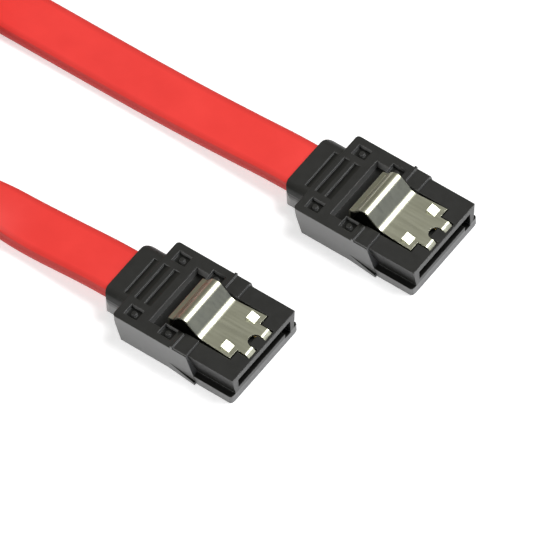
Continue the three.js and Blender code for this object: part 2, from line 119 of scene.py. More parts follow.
class EffectGroups:
    """Shader node groups shared by the finishes, each built once."""

    COARSE_SHARE = 0.28
    STREAK_RISE = 0.35
    STREAK_RANGE = (0.35, 0.65)
    EDGE_RANGE = (0.985, 0.88)
    EDGE_SAMPLES = 6
    MOTTLE_GAIN = 6.0

    def __init__(self) -> None:
        """Builds every group."""
        self.grain = self._grain()
        self.streaks = self._streaks()
        self.mottle = self._mottle()
        self.rounding = self._rounding()

    @staticmethod
    def _group(name: str, inputs: dict[str, float], outputs: Sequence[str]) -> ShaderTree:
        """Makes an empty group with number inputs and number outputs.

        Args:
            name: Name of the group.
            inputs: Default value of each number input.
            outputs: Names of the number outputs.

        Returns:
            The new group, with its input and output nodes in place.
        """
        tree = bpy.data.node_groups.new(name, "ShaderNodeTree")
        tree.interface.new_socket("Place", in_out="INPUT", socket_type="NodeSocketVector")
        for key, value in inputs.items():
            socket = tree.interface.new_socket(key, in_out="INPUT", socket_type="NodeSocketFloat")
            socket.default_value = value
        for key in outputs:
            tree.interface.new_socket(key, in_out="OUTPUT", socket_type="NodeSocketFloat")
        tree.nodes.new("NodeGroupInput")
        tree.nodes.new("NodeGroupOutput")
        return tree

    @staticmethod
    def _ends(tree: ShaderTree) -> tuple[Node, Node]:
        """Finds a group's input and output nodes."""
        return tree.nodes["Group Input"], tree.nodes["Group Output"]

    def _grain(self) -> ShaderTree:
        """Fine spark-eroded grain of a moulded face, as a height and a mask."""
        tree = self._group("moulded_grain", {"Scale": 4000.0, "Coarse": 0.5}, ("Height", "Mask"))
        first, last = self._ends(tree)
        fine = noise_node(tree, 3.0, 0.65)
        coarse = noise_node(tree, 2.0)
        share = math_node(tree, "MULTIPLY", self.COARSE_SHARE)
        mix = tree.nodes.new("ShaderNodeMix")
        link = tree.links.new
        link(first.outputs["Place"], fine.inputs["Vector"])
        link(first.outputs["Place"], coarse.inputs["Vector"])
        link(first.outputs["Scale"], fine.inputs["Scale"])
        link(first.outputs["Scale"], share.inputs[0])
        link(share.outputs[0], coarse.inputs["Scale"])
        link(first.outputs["Coarse"], mix.inputs["Factor"])
        link(fine.outputs["Fac"], mix.inputs["A"])
        link(coarse.outputs["Fac"], mix.inputs["B"])
        link(mix.outputs["Result"], last.inputs["Height"])
        link(coarse.outputs["Fac"], last.inputs["Mask"])
        return tree

    def _streaks(self) -> ShaderTree:
        """Rolling lines of strip metal, drawn out along one direction."""
        tree = self._group("rolling_streaks", {"Scale": 2500.0, "Stretch": 0.04}, ("Height", "Mask"))
        first, last = self._ends(tree)
        pull = tree.nodes.new("ShaderNodeCombineXYZ")
        pull.inputs["Y"].default_value = 1.0
        pull.inputs["Z"].default_value = self.STREAK_RISE
        scale = tree.nodes.new("ShaderNodeVectorMath")
        scale.operation = "MULTIPLY"
        noise = noise_node(tree, 4.0, 0.6)
        ramp = ramp_node(tree, *self.STREAK_RANGE)
        link = tree.links.new
        link(first.outputs["Stretch"], pull.inputs["X"])
        link(first.outputs["Place"], scale.inputs[0])
        link(pull.outputs["Vector"], scale.inputs[1])
        link(scale.outputs["Vector"], noise.inputs["Vector"])
        link(first.outputs["Scale"], noise.inputs["Scale"])
        link(noise.outputs["Fac"], ramp.inputs["Value"])
        link(noise.outputs["Fac"], last.inputs["Height"])
        link(ramp.outputs["Result"], last.inputs["Mask"])
        return tree

    def _rounding(self) -> ShaderTree:
        """Rounded edge, as a normal and a mask of where the edge is."""
        tree = self._group("rounded_edge", {"Radius": 0.1 * MM}, ("Mask",))
        tree.interface.new_socket("Normal", in_out="OUTPUT", socket_type="NodeSocketVector")
        first, last = self._ends(tree)
        bevel = tree.nodes.new("ShaderNodeBevel")
        bevel.samples = self.EDGE_SAMPLES
        shape = tree.nodes.new("ShaderNodeNewGeometry")
        alike = tree.nodes.new("ShaderNodeVectorMath")
        alike.operation = "DOT_PRODUCT"
        ramp = ramp_node(tree, *self.EDGE_RANGE)
        link = tree.links.new
        link(first.outputs["Radius"], bevel.inputs["Radius"])
        link(bevel.outputs["Normal"], alike.inputs[0])
        link(shape.outputs["Normal"], alike.inputs[1])
        link(alike.outputs["Value"], ramp.inputs["Value"])
        link(ramp.outputs["Result"], last.inputs["Mask"])
        link(bevel.outputs["Normal"], last.inputs["Normal"])
        return tree

    def _mottle(self) -> ShaderTree:
        """Slow blotches of handling and dust, as a mask from 0 to 1."""
        tree = self._group("slow_mottle", {"Scale": 260.0, "Contrast": 0.5}, ("Mask",))
        first, last = self._ends(tree)
        noise = noise_node(tree, 3.0)
        centre = math_node(tree, "SUBTRACT", 0.5)
        gain = math_node(tree, "MULTIPLY", self.MOTTLE_GAIN)
        spread = math_node(tree, "MULTIPLY_ADD")
        spread.inputs[2].default_value = 0.5
        spread.use_clamp = True
        link = tree.links.new
        link(first.outputs["Place"], noise.inputs["Vector"])
        link(first.outputs["Scale"], noise.inputs["Scale"])
        link(noise.outputs["Fac"], centre.inputs[0])
        link(centre.outputs[0], spread.inputs[0])
        link(first.outputs["Contrast"], gain.inputs[0])
        link(gain.outputs[0], spread.inputs[1])
        link(spread.outputs[0], last.inputs["Mask"])
        return tree


class MaterialSheet:
    """One material being put together, with short helpers for its nodes."""

    UPRIGHT_RANGE = (0.65, 0.3)
    LEVEL_SOFTNESS = 0.1 * MM

    def __init__(self, name: str, slot: Slot) -> None:
        """Starts a material with a Principled shader.

        Args:
            name: Name of the material.
            slot: The record's slot that it finishes.
        """
        self.material = bpy.data.materials.new(name)
        self.material.use_nodes = True
        self.material["finish_slot"] = slot.value
        self.tree = self.material.node_tree
        self.shader = self.tree.nodes["Principled BSDF"]
        self.place = self.tree.nodes.new("ShaderNodeTexCoord").outputs["Object"]

    def effect(self, group: ShaderTree, **values: float) -> Node:
        """Places a shared effect on the material's coordinates.

        Args:
            group: The effect's node group.
            **values: Values for the group's inputs, by name.

        Returns:
            The group's node.
        """
        node = self.tree.nodes.new("ShaderNodeGroup")
        node.node_tree = group
        self.tree.links.new(self.place, node.inputs["Place"])
        for key, value in values.items():
            node.inputs[key].default_value = value
        return node

    def blend(self, mask: Socket, low: Colour, high: Colour) -> Socket:
        """Blends two colours by a mask.

        Args:
            mask: The socket that gives the share of the second colour.
            low: Linear colour where the mask is 0.
            high: Linear colour where the mask is 1.

        Returns:
            The socket with the blended colour.
        """
        mix = mix_node(self.tree, high, low)
        self.tree.links.new(mask, mix.inputs["Factor"])
        return mix.outputs["Result"]

    def attribute(self, name: str) -> Socket:
        """Reads a number that the mesh carries."""
        node = self.tree.nodes.new("ShaderNodeAttribute")
        node.attribute_name = name
        return node.outputs["Fac"]

    def toned(self, mask: Socket, body: Socket,
              tone: Colour) -> Socket:
        """Blends a fixed colour over one that is already worked out, by a mask."""
        mix = mix_node(self.tree, tone)
        self.tree.links.new(mask, mix.inputs["Factor"])
        self.tree.links.new(body, mix.inputs["A"])
        return mix.outputs["Result"]

    def upright(self) -> Socket:
        """Mask of the faces that stand upright, from the mesh's own normals."""
        shape = self.tree.nodes.new("ShaderNodeNewGeometry")
        parts = self.tree.nodes.new("ShaderNodeSeparateXYZ")
        size = math_node(self.tree, "ABSOLUTE")
        ramp = ramp_node(self.tree, *self.UPRIGHT_RANGE)
        self.tree.links.new(shape.outputs["True Normal"], parts.inputs[0])
        self.tree.links.new(parts.outputs["Z"], size.inputs[0])
        self.tree.links.new(size.outputs[0], ramp.inputs["Value"])
        return ramp.outputs["Result"]

    def sunk(self, below: float) -> Socket:
        """Mask of what lies lower than a height in metres."""
        parts = self.tree.nodes.new("ShaderNodeSeparateXYZ")
        ramp = ramp_node(self.tree, below + self.LEVEL_SOFTNESS, below - self.LEVEL_SOFTNESS)
        self.tree.links.new(self.place, parts.inputs[0])
        self.tree.links.new(parts.outputs["Z"], ramp.inputs["Value"])
        return ramp.outputs["Result"]

    def between(self, mask: Socket, low: float, high: float) -> Socket:
        """Maps a mask from 0 and 1 to two values."""
        node = self.tree.nodes.new("ShaderNodeMapRange")
        node.inputs["To Min"].default_value = low
        node.inputs["To Max"].default_value = high
        self.tree.links.new(mask, node.inputs["Value"])
        return node.outputs["Result"]

    def relief(self, height: Socket, depth: float, strength: float,
               under: Socket | None = None) -> Socket:
        """Turns a height into a normal.

        Args:
            height: The socket with the height, from 0 to 1.
            depth: Depth of the relief in metres.
            strength: Strength of the bump.
            under: The normal that the relief lies on, where it isn't the mesh's own.

        Returns:
            The socket with the bumped normal.
        """
        bump = self.tree.nodes.new("ShaderNodeBump")
        bump.inputs["Distance"].default_value = depth
        bump.inputs["Strength"].default_value = strength
        self.tree.links.new(height, bump.inputs["Height"])
        if under is not None:
            self.tree.links.new(under, bump.inputs["Normal"])
        return bump.outputs["Normal"]

    def connect(self, source: Socket, target: str) -> None:
        """Links a value to one of the shader's inputs."""
        self.tree.links.new(source, self.shader.inputs[target])

    def fixed(self, **values: float) -> None:
        """Sets values that are the same all over, on the shader's own sockets."""
        for key, value in values.items():
            self.shader.inputs[key.replace("_", " ")].default_value = value


@dataclass(frozen=True)
class MouldedPlastic:
    """Black moulded plastic with a fine grain, paler on its rounded edges and on upright walls.

    The paler edges are partly wear and partly a painted highlight. Upright walls are pale up to
    painted_reflection_below as a painted reflection of the table, higher walls keep the dark base as
    painted shade, and flat faces below recess reflect less as painted shade in the recesses.
    """

    name: str
    slot: Slot
    base: Colour = (0.0036, 0.0038, 0.0028)
    worn: Colour = (0.0066, 0.0068, 0.0056)
    roughness: tuple[float, float] = (0.34, 0.44)
    # Paler tone of the rounded edges: partly wear, partly a painted highlight.
    edge: Colour = (0.036, 0.037, 0.032)
    # Pale tone of the upright walls up to the height below: a painted reflection of the table. Higher walls
    # keep the dark base as painted shade.
    painted_wall_reflection: Colour = (0.15, 0.15, 0.148)
    painted_reflection_below: float = 100 * MM
    gloss: float = 0.78
    recess: float = 4.2 * MM
    # Flat faces below this height reflect at the lower level that follows: painted shade in the recesses.
    recess_shade_gloss: float = 0.3
    edge_radius: float = 0.13 * MM
    grain_depth: float = 0.02 * MM
    grain_strength: float = 0.35

    def build(self, effects: EffectGroups) -> bpy.types.Material:
        """Makes the material.

        Args:
            effects: The shared effect groups.

        Returns:
            The finished material.
        """
        sheet = MaterialSheet(self.name, self.slot)
        mottle = sheet.effect(effects.mottle, Scale=420.0, Contrast=0.45)
        grain = sheet.effect(effects.grain, Scale=3600.0, Coarse=0.35)
        body = sheet.blend(mottle.outputs["Mask"], self.base, self.worn)
        edge = sheet.effect(effects.rounding, Radius=self.edge_radius)
        # Painted reflection of the table on the upright walls below a height.
        painted_wall_mask = math_node(sheet.tree, "MULTIPLY")
        sheet.tree.links.new(sheet.upright(), painted_wall_mask.inputs[0])
        sheet.tree.links.new(sheet.sunk(self.painted_reflection_below), painted_wall_mask.inputs[1])
        with_wall_reflection = sheet.toned(painted_wall_mask.outputs[0], body, self.painted_wall_reflection)
        # Paler rounded edges: partly wear, partly a painted highlight.
        sheet.connect(sheet.toned(edge.outputs["Mask"], with_wall_reflection, self.edge), "Base Color")
        sheet.connect(sheet.between(grain.outputs["Mask"], *self.roughness), "Roughness")
        sheet.connect(sheet.relief(grain.outputs["Height"], self.grain_depth, self.grain_strength,
                                   edge.outputs["Normal"]), "Normal")
        # Weaker reflection on flat faces low in the recesses: painted shade.
        recess_shade_mask = math_node(sheet.tree, "SUBTRACT")
        recess_shade_mask.use_clamp = True
        sheet.tree.links.new(sheet.sunk(self.recess), recess_shade_mask.inputs[0])
        sheet.tree.links.new(sheet.upright(), recess_shade_mask.inputs[1])
        gloss = sheet.between(recess_shade_mask.outputs[0], self.gloss, self.recess_shade_gloss)
        sheet.connect(gloss, "Specular IOR Level")
        return sheet.material


@dataclass(frozen=True)
class SpringSteel:
    """Rolled stainless strip with fine lines along it."""

    name: str = "spring_steel"
    bright: Colour = (0.585, 0.59, 0.475)
    dull: Colour = (0.54, 0.545, 0.42)
    roughness: tuple[float, float] = (0.33, 0.39)
    edge_radius: float = 0.05 * MM
    line_depth: float = 0.006 * MM
    line_strength: float = 0.03

    def build(self, effects: EffectGroups) -> bpy.types.Material:
        """Makes the material from the shared effect groups."""
        sheet = MaterialSheet(self.name, Slot.LATCH)
        streaks = sheet.effect(effects.streaks, Scale=2600.0, Stretch=0.05)
        mottle = sheet.effect(effects.mottle, Scale=700.0, Contrast=0.2)
        sheet.connect(sheet.blend(mottle.outputs["Mask"], self.dull, self.bright), "Base Color")
        sheet.connect(sheet.between(streaks.outputs["Mask"], *self.roughness), "Roughness")
        edge = sheet.effect(effects.rounding, Radius=self.edge_radius)
        sheet.connect(sheet.relief(streaks.outputs["Height"], self.line_depth, self.line_strength,
                                   edge.outputs["Normal"]), "Normal")
        sheet.fixed(Metallic=1.0)
        return sheet.material


@dataclass(frozen=True)
class PlatedMetal:
    """Plated contact or wire metal with slight tarnish."""

    name: str
    slot: Slot
    bright: Colour
    tarnished: Colour
    roughness: tuple[float, float]

    def build(self, effects: EffectGroups) -> bpy.types.Material:
        """Makes the material from the shared effect groups."""
        sheet = MaterialSheet(self.name, self.slot)
        streaks = sheet.effect(effects.streaks, Scale=5200.0, Stretch=0.15)
        mottle = sheet.effect(effects.mottle, Scale=1500.0, Contrast=0.6)
        sheet.connect(sheet.blend(mottle.outputs["Mask"], self.bright, self.tarnished), "Base Color")
        sheet.connect(sheet.between(streaks.outputs["Mask"], *self.roughness), "Roughness")
        sheet.connect(sheet.relief(streaks.outputs["Height"], 0.004 * MM, 0.3), "Normal")
        sheet.fixed(Metallic=1.0)
        return sheet.material


@dataclass(frozen=True)
class RedJacket:
    """Soft red jacket."""

    name: str = "red_jacket"
    fresh: Colour = (0.930, 0.054, 0.044)
    deep: Colour = (0.860, 0.044, 0.036)
    # Darker red of the rounded rims: painted shade.
    painted_rim_shade: Colour = (0.48, 0.020, 0.016)
    roughness: tuple[float, float] = (0.42, 0.52)

    def build(self, effects: EffectGroups) -> bpy.types.Material:
        """Makes the material from the shared effect groups."""
        sheet = MaterialSheet(self.name, Slot.JACKET)
        mottle = sheet.effect(effects.mottle, Scale=170.0, Contrast=0.4)
        grain = sheet.effect(effects.grain, Scale=2600.0, Coarse=0.6)
        body = sheet.blend(mottle.outputs["Mask"], self.deep, self.fresh)
        # Darker rounded rims: painted shade.
        sheet.connect(sheet.toned(sheet.attribute("rim_shade_share"), body, self.painted_rim_shade), "Base Color")
        sheet.connect(sheet.between(grain.outputs["Mask"], *self.roughness), "Roughness")
        sheet.connect(sheet.relief(grain.outputs["Height"], 0.03 * MM, 0.22), "Normal")
        sheet.fixed(Specular_IOR_Level=0.4)
        return sheet.material


@dataclass(frozen=True)
class TieCoat:
    """Black coating of the tie, with faint lines along it."""

    name: str = "tie_coat"
    base: Colour = (0.012, 0.012, 0.013)
    worn: Colour = (0.030, 0.030, 0.032)

    def build(self, effects: EffectGroups) -> bpy.types.Material:
        """Makes the material from the shared effect groups."""
        sheet = MaterialSheet(self.name, Slot.TIE)
        streaks = sheet.effect(effects.streaks, Scale=1800.0, Stretch=0.2)
        grain = sheet.effect(effects.grain, Scale=3000.0, Coarse=0.5)
        sheet.connect(sheet.blend(streaks.outputs["Mask"], self.base, self.worn), "Base Color")
        sheet.connect(sheet.between(grain.outputs["Mask"], 0.45, 0.6), "Roughness")
        sheet.connect(sheet.relief(grain.outputs["Height"], 0.03 * MM, 0.4), "Normal")
        return sheet.material


@dataclass
class FinishSet:
    """All the finishes of the object."""

    effects: EffectGroups = field(default_factory=EffectGroups)
    by_slot: dict[Slot, bpy.types.Material] = field(default_factory=dict)

    def build(self) -> None:
        """Makes one material for each slot of the record."""
        recipes = {
            # The housing's pale walls stop at its low lip: painted reflection there, painted shade on the
            # higher nose walls.
            Slot.HOUSING: MouldedPlastic("housing_plastic", Slot.HOUSING, base=(0.0034, 0.0036, 0.0028),
                                         worn=(0.0062, 0.0064, 0.0054), painted_reflection_below=1.35 * MM),
            Slot.GRIP: MouldedPlastic("grip_plastic", Slot.GRIP),
            Slot.LATCH: SpringSteel(),
            Slot.CONTACT: PlatedMetal("gilt_contact", Slot.CONTACT, (0.80, 0.58, 0.24),
                                      (0.55, 0.36, 0.13), (0.2, 0.34)),
            Slot.WIRE: PlatedMetal("tinned_wire", Slot.WIRE, (0.68, 0.68, 0.67),
                                   (0.44, 0.43, 0.41), (0.3, 0.42)),
            Slot.JACKET: RedJacket(),
            Slot.TIE: TieCoat(),
        }
        for slot, recipe in recipes.items():
            self.by_slot[slot] = recipe.build(self.effects)

    def dress(self, piece: bpy.types.Object, slot: Slot) -> None:
        """Gives a piece or a CAD node the finish of a slot."""
        piece.data.materials.clear()
        piece.data.materials.append(self.by_slot[slot])


# Meshes


def object_from(name: str, mesh: bpy.types.Mesh) -> bpy.types.Object:
    """Links a mesh into the scene as an object at the origin."""
    piece = bpy.data.objects.new(name, mesh)
    bpy.context.scene.collection.objects.link(piece)
    return piece


def tube_faces(rings: int, around: int, closed: bool) -> list[tuple[int, ...]]:
    """Faces of a tube whose rings of vertices follow one another.

    Args:
        rings: Number of rings.
        around: Number of vertices in each ring.
        closed: Whether the last ring joins the first. An open tube has a face at each end.

    Returns:
        The faces, as vertex numbers.
    """
    faces = []
    for i in range(rings if closed else rings - 1):
        n = (i + 1) % rings
        for j in range(around):
            k = (j + 1) % around
            faces.append((i * around + j, i * around + k, n * around + k, n * around + j))
    if not closed:
        last = (rings - 1) * around
        faces += [tuple(reversed(range(around))), tuple(range(last, last + around))]
    return faces


def settle(piece: bpy.types.Object) -> bpy.types.Object:
    """Applies a piece's modifiers.

    Args:
        piece: The object with live modifiers.

    Returns:
        The same object, with a plain mesh.
    """
    bpy.context.view_layer.update()
    graph = bpy.context.evaluated_depsgraph_get()
    mesh = bpy.data.meshes.new_from_object(piece.evaluated_get(graph))
    piece.modifiers.clear()
    old = piece.data
    piece.data = mesh
    if old.users == 0:
        bpy.data.meshes.remove(old)
    return piece


def level_normals(mesh: bpy.types.Mesh, crease: float) -> None:
    """Sets normals that keep flat faces flat and run smoothly over curved ones.

    Args:
        mesh: The mesh.
        crease: Smallest angle between two faces that the shading doesn't run across, in degrees.
    """
    limit = math.cos(math.radians(crease))
    around: dict[int, list[tuple[Vector, float]]] = {}
    for face in mesh.polygons:
        for vertex in face.vertices:
            around.setdefault(vertex, []).append((face.normal.copy(), face.area))
    normals = []
    for face in mesh.polygons:
        for vertex in face.vertices:
            alike = [normal * area for normal, area in around[vertex] if normal.dot(face.normal) > limit]
            total = sum(alike, Vector((0.0, 0.0, 0.0)))
            normals.append(total.normalized() if total.length > 0.0 else face.normal.copy())
    mesh.shade_smooth()
    mesh.normals_split_custom_set(normals)


def shell_of(node: str, name: str, crease: float) -> bpy.types.Object:
    """Copies a CAD node as a visible shell with clean normals.

    Args:
        node: Name of the CAD node.
        name: Name of the new piece.
        crease: Smallest edge angle that the shading doesn't run across, in degrees.

    Returns:
        The new piece.
    """
    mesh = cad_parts[node].data.copy()
    mesh.name = name
    work = bmesh.new()
    work.from_mesh(mesh)
    bmesh.ops.remove_doubles(work, verts=work.verts, dist=WELD)
    work.to_mesh(mesh)
    work.free()
    mesh.materials.clear()
    level_normals(mesh, crease)
    return object_from(name, mesh)


# Repeats


class RepeatTrees:
    """Geometry node trees for what repeats, each built once."""

    def __init__(self) -> None:
        """Builds both trees."""
        self.row = self._row()
        self.twist = self._twist()

    @staticmethod
    def _tree(name: str, inputs: dict[str, str]) -> GeometryTree:
        """Makes an empty tree that takes a piece and gives it back changed.

        Args:
            name: Name of the tree.
            inputs: Socket type of each named input after the piece.

        Returns:
            The tree, with its input and output nodes.
        """
        tree = bpy.data.node_groups.new(name, "GeometryNodeTree")
        tree.is_modifier = True
        tree.interface.new_socket("Piece", in_out="INPUT", socket_type="NodeSocketGeometry")
        for key, kind in inputs.items():
            tree.interface.new_socket(key, in_out="INPUT", socket_type=kind)
        tree.interface.new_socket("Made", in_out="OUTPUT", socket_type="NodeSocketGeometry")
        tree.nodes.new("NodeGroupInput")
        tree.nodes.new("NodeGroupOutput")
        return tree

    def _row(self) -> GeometryTree:
        """Copies of the piece in a row, each turned a step further about X and set a hair off."""
        tree = self._tree("repeat_in_row", {
            "Count": "NodeSocketInt", "Step": "NodeSocketVector", "Turn": "NodeSocketFloat",
            "Scatter": "NodeSocketFloat", "Seed": "NodeSocketInt", "Finish": "NodeSocketMaterial",
        })
        first = tree.nodes["Group Input"].outputs
        line, index, shift, copies, real, coat = (tree.nodes.new(f"GeometryNode{kind}") for kind in (
            "MeshLine", "InputIndex", "SetPosition", "InstanceOnPoints", "RealizeInstances", "SetMaterial"))
        angle = math_node(tree, "MULTIPLY")
        turn = tree.nodes.new("ShaderNodeCombineXYZ")
        stray = tree.nodes.new("FunctionNodeRandomValue")
        stray.data_type = "FLOAT_VECTOR"
        stray.inputs["Min"].default_value = (-1.0, -1.0, -1.0)
        size = tree.nodes.new("ShaderNodeVectorMath")
        size.operation = "SCALE"
        link = tree.links.new
        link(first["Count"], line.inputs["Count"])
        link(first["Step"], line.inputs["Offset"])
        link(index.outputs[0], angle.inputs[0])
        link(first["Turn"], angle.inputs[1])
        link(angle.outputs[0], turn.inputs["X"])
        link(first["Seed"], stray.inputs["Seed"])
        link(stray.outputs["Value"], size.inputs[0])
        link(first["Scatter"], size.inputs["Scale"])
        link(line.outputs["Mesh"], shift.inputs["Geometry"])
        link(size.outputs["Vector"], shift.inputs["Offset"])
        link(shift.outputs["Geometry"], copies.inputs["Points"])
        link(first["Piece"], copies.inputs["Instance"])
        link(turn.outputs["Vector"], copies.inputs["Rotation"])
        link(copies.outputs["Instances"], real.inputs["Geometry"])
        link(real.outputs["Geometry"], coat.inputs["Geometry"])
        link(first["Finish"], coat.inputs["Material"])
        link(coat.outputs["Geometry"], tree.nodes["Group Output"].inputs["Made"])
        return tree

    def _twist(self) -> GeometryTree:
        """Turns the piece about the X axis, further with each metre along it."""
        tree = self._tree("twist_along_x", {"Rate": "NodeSocketFloat", "Finish": "NodeSocketMaterial"})
        first = tree.nodes["Group Input"].outputs
        place, move, coat = (tree.nodes.new(f"GeometryNode{kind}") for kind in (
            "InputPosition", "SetPosition", "SetMaterial"))
        parts = tree.nodes.new("ShaderNodeSeparateXYZ")
        angle = math_node(tree, "MULTIPLY")
        swing = tree.nodes.new("ShaderNodeVectorRotate")
        swing.rotation_type = "X_AXIS"
        link = tree.links.new
        link(place.outputs[0], parts.inputs[0])
        link(parts.outputs["X"], angle.inputs[0])
        link(first["Rate"], angle.inputs[1])
        link(place.outputs[0], swing.inputs["Vector"])
        link(angle.outputs[0], swing.inputs["Angle"])
        link(first["Piece"], move.inputs["Geometry"])
        link(swing.outputs["Vector"], move.inputs["Position"])
        link(move.outputs["Geometry"], coat.inputs["Geometry"])
        link(first["Finish"], coat.inputs["Material"])
        link(coat.outputs["Geometry"], tree.nodes["Group Output"].inputs["Made"])
        return tree

    @staticmethod
    def add(piece: bpy.types.Object, tree: GeometryTree, **values: object) -> None:
        """Adds a tree to a piece as a modifier.

        Args:
            piece: The object that the tree works on.
            tree: The tree.
            **values: Values of the tree's inputs, by name.
        """
        modifier = piece.modifiers.new(tree.name, "NODES")
        modifier.node_group = tree
        for item in tree.interface.items_tree:
            if item.item_type == "SOCKET" and item.in_out == "INPUT" and item.name in values:
                modifier[item.identifier] = values[item.name]


# Camera, floor and lights


@dataclass(frozen=True)
class Lamp:
    """A square lamp that looks at the origin, with lengths in metres and its power in watts."""

    name: str
    direction: tuple[float, float, float]
    distance: float
    size: float
    power: float

    def build(self) -> None:
        """Places the lamp."""
        data = bpy.data.lights.new(self.name, "AREA")
        data.shape = "SQUARE"
        data.size = self.size
        data.energy = self.power
        lamp = bpy.data.objects.new(self.name, data)
        bpy.context.scene.collection.objects.link(lamp)
        direction = Vector(self.direction)
        lamp.location = direction.normalized() * self.distance
        lamp.rotation_euler = direction.to_track_quat("Z", "Y").to_euler()


@dataclass
class Studio:
    """Camera, floor and soft light."""

    azimuth: float = 39.03
    elevation: float = 54.0
    roll: float = -3.43
    focal_pixels: float = 10000.0
    image_pixels: float = 540.0
    sensor: float = 36.0
    offset: tuple[float, float, float] = (-0.61 * MM, -12.37 * MM, 1277.27 * MM)
    sighted_from: tuple[float, float, float] = (6.6 * MM, -13.45 * MM, 0.0)
    floor_size: float = 4.0
    floor_drop: float = 0.02 * MM
    floor_tone: float = 0.86
    floor_glow: float = 0.5
    sky_left: Colour = (0.215, 0.21, 0.185)
    sky_right: Colour = (0.10, 0.11, 0.15)
    sky_range: tuple[float, float] = (-0.3, 0.7)
    lamps: tuple[Lamp, ...] = (Lamp("overhead_box", (0.30, 0.41, 0.87), 0.9, 0.46, 6.5),
                               Lamp("side_fill", (-0.25, -0.9, 0.45), 1.0, 0.7, 5.0))

    def camera(self) -> bpy.types.Object:
        """Makes the camera at the photograph's viewing angle.

        Returns:
            The camera.
        """
        az, el, roll = (math.radians(v) for v in (self.azimuth, self.elevation, self.roll))
        away = Vector((-math.sin(az), math.cos(az), 0.0))
        right = Vector((math.cos(az), math.sin(az), 0.0))
        high = Vector((0.0, 0.0, 1.0))
        forward = away * math.cos(el) - high * math.sin(el)
        upward = away * math.sin(el) + high * math.cos(el)
        across = right * math.cos(roll) + upward * math.sin(roll)
        up = upward * math.cos(roll) - right * math.sin(roll)
        shift = across * self.offset[0] + up * self.offset[1] + forward * self.offset[2]
        place = Vector(self.sighted_from) - shift
        turn = Matrix((across, up, -forward)).transposed().to_4x4()
        data = bpy.data.cameras.new("camera")
        data.type = "PERSP"
        data.sensor_width = self.sensor
        data.lens = self.focal_pixels * self.sensor / self.image_pixels
        data.clip_start = 0.1
        data.clip_end = 20.0
        camera = bpy.data.objects.new("camera", data)
        bpy.context.scene.collection.objects.link(camera)
        camera.matrix_world = Matrix.Translation(place) @ turn
        bpy.context.scene.camera = camera
        return camera

    def floor(self) -> None:
        """Makes the white table, which keeps the object's shadow and glows to the camera."""
        half = self.floor_size / 2
        mesh = bpy.data.meshes.new("table_top")
        mesh.from_pydata([(-half, -half, 0), (half, -half, 0), (half, half, 0), (-half, half, 0)], [],
                         [(0, 1, 2, 3)])
        table = object_from("table_top", mesh)
        table.location.z = -self.floor_drop
        material = bpy.data.materials.new("table_white")
        material.use_nodes = True
        tree = material.node_tree
        tree.nodes.clear()
        output = tree.nodes.new("ShaderNodeOutputMaterial")
        paper = tree.nodes.new("ShaderNodeBsdfDiffuse")
        paper.inputs["Color"].default_value = (self.floor_tone, self.floor_tone, self.floor_tone, 1.0)
        glow = tree.nodes.new("ShaderNodeEmission")
        glow.inputs["Strength"].default_value = self.floor_glow
        path = tree.nodes.new("ShaderNodeLightPath")
        seen = math_node(tree, "MAXIMUM")
        also = math_node(tree, "MAXIMUM")
        both = tree.nodes.new("ShaderNodeAddShader")
        pick = tree.nodes.new("ShaderNodeMixShader")
        link = tree.links.new
        link(path.outputs["Is Camera Ray"], seen.inputs[0])
        link(path.outputs["Is Glossy Ray"], seen.inputs[1])
        link(seen.outputs[0], also.inputs[0])
        link(path.outputs["Is Transmission Ray"], also.inputs[1])
        link(paper.outputs[0], both.inputs[0])
        link(glow.outputs[0], both.inputs[1])
        link(also.outputs[0], pick.inputs["Fac"])
        link(paper.outputs[0], pick.inputs[1])
        link(both.outputs[0], pick.inputs[2])
        link(pick.outputs[0], output.inputs["Surface"])
        mesh.materials.append(material)

    def lights(self) -> None:
        """Makes the lamps and the pale world."""
        for lamp in self.lamps:
            lamp.build()
        world = bpy.data.worlds.new("studio")
        world.use_nodes = True
        tree = world.node_tree
        way = tree.nodes.new("ShaderNodeTexCoord")
        parts = tree.nodes.new("ShaderNodeSeparateXYZ")
        ramp = ramp_node(tree, *self.sky_range)
        mix = mix_node(tree, self.sky_right, self.sky_left)
        tree.links.new(way.outputs["Generated"], parts.inputs[0])
        tree.links.new(parts.outputs["X"], ramp.inputs["Value"])
        tree.links.new(ramp.outputs["Result"], mix.inputs["Factor"])
        tree.links.new(mix.outputs["Result"], tree.nodes["Background"].inputs["Color"])
        bpy.context.scene.world = world

    def build(self) -> None:
        """Sets up the studio and the colour view."""
        self.camera()
        self.floor()
        self.lights()
        bpy.context.scene.view_settings.view_transform = "Standard"


# Cable


